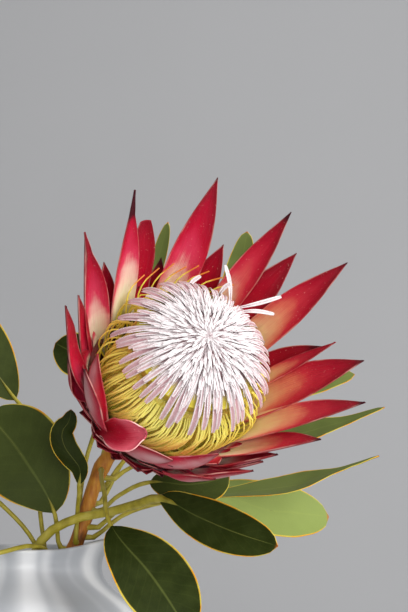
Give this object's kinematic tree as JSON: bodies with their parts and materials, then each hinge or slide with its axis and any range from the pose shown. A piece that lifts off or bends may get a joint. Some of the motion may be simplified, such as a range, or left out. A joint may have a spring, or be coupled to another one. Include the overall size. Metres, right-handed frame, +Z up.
{
  "type": "king protea",
  "caption": "Cut king protea in a glazed vase: one stem with leathery leaves and an open head of pointed bracts round a domed centre of florets.",
  "frame": {"origin": "centre of the vase's foot, on the surface that it stands on", "axes": "+Z up along the vase's axis, +X towards the pouring lip and the side that the stem leans to, -Y towards the side that the flower faces"},
  "size_m": [0.3202, 0.256, 0.4054],
  "materials": {
    "glaze": "glossy white glaze with soft vertical streaks",
    "water": "clear still water",
    "bark": "smooth young bark, orange-brown",
    "leaf": "leathery dark green with yellow-orange margins",
    "bract": "silky crimson, pale at the base, dark and dry at the tips",
    "style": "yellow strands with orange tips",
    "floret": "matt felted white, mauve between the ribbons"
  },
  "bodies": {
    "root": {"vase": "glaze", "water": "water", "stem": "bark", "leaf_1": "leaf", "leaf_2": "leaf", "leaf_3": "leaf", "leaf_4": "leaf", "leaf_5": "leaf", "leaf_6": "leaf", "leaf_7": "leaf", "leaf_8": "leaf", "leaf_9": "leaf", "leaf_10": "leaf", "leaf_11": "leaf", "leaf_12": "leaf", "leaf_13": "leaf", "leaf_14": "leaf", "leaf_15": "leaf", "bracts": "bract", "styles": "style", "crown": "floret"}
  },
  "joints": []
}
